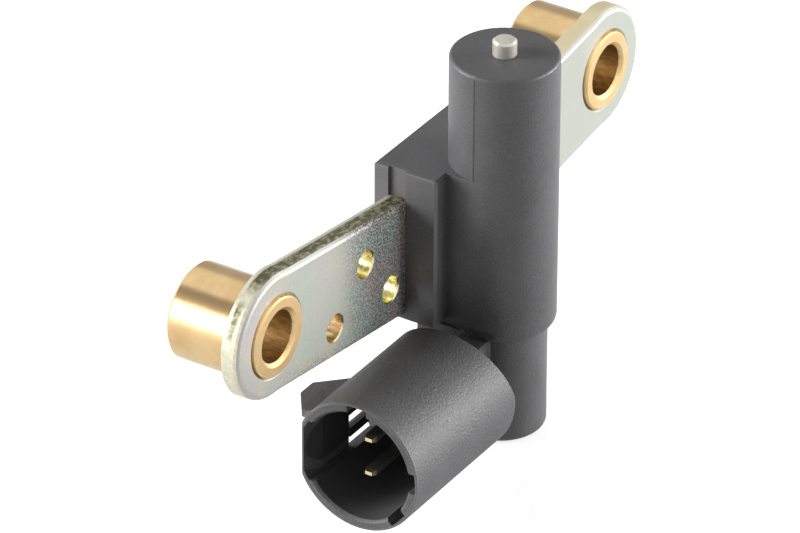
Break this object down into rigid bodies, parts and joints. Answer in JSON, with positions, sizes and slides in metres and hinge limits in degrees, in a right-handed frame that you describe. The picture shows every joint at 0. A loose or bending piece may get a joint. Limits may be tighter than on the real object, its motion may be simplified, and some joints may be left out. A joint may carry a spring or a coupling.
{
  "type": "crankshaft position sensor",
  "caption": "Inductive crankshaft position sensor: moulded barrel with a steel pole pin at its tip, round keyed plug socket, and flat plated steel bracket with stepped mounting bushes.",
  "frame": {"origin": "midway between the axes of the two mounting bushes, on the plane of the bushes' rear faces", "axes": "+X along the bracket from the left bush to the right one, +Y out of the bushes' rear faces towards the engine, +Z towards the sensing tip"},
  "size_m": [0.101, 0.0314, 0.0592],
  "materials": {
    "housing_plastic": "charcoal glass-filled plastic with a fine spark-eroded grain",
    "plated_steel": "zinc plate with a faintly iridescent passivation, golden sheared edges",
    "bush_metal": "turned, with a yellow passivated plate",
    "pole_steel": "turned soft iron, bright",
    "magnet": "ground sintered magnet",
    "bobbin_plastic": "natural moulded plastic",
    "winding_wire": "enamelled copper wire, wound in close layers",
    "terminal_metal": "stamped and plated terminal"
  },
  "bodies": {
    "root": {"housing": "housing_plastic", "mounting_bracket": "plated_steel", "left_bush": "bush_metal", "right_bush": "bush_metal", "pole_pin": "pole_steel", "magnet": "magnet", "coil_bobbin": "bobbin_plastic", "coil_winding": "winding_wire", "upper_terminal": "terminal_metal", "lower_terminal": "terminal_metal"}
  },
  "joints": []
}
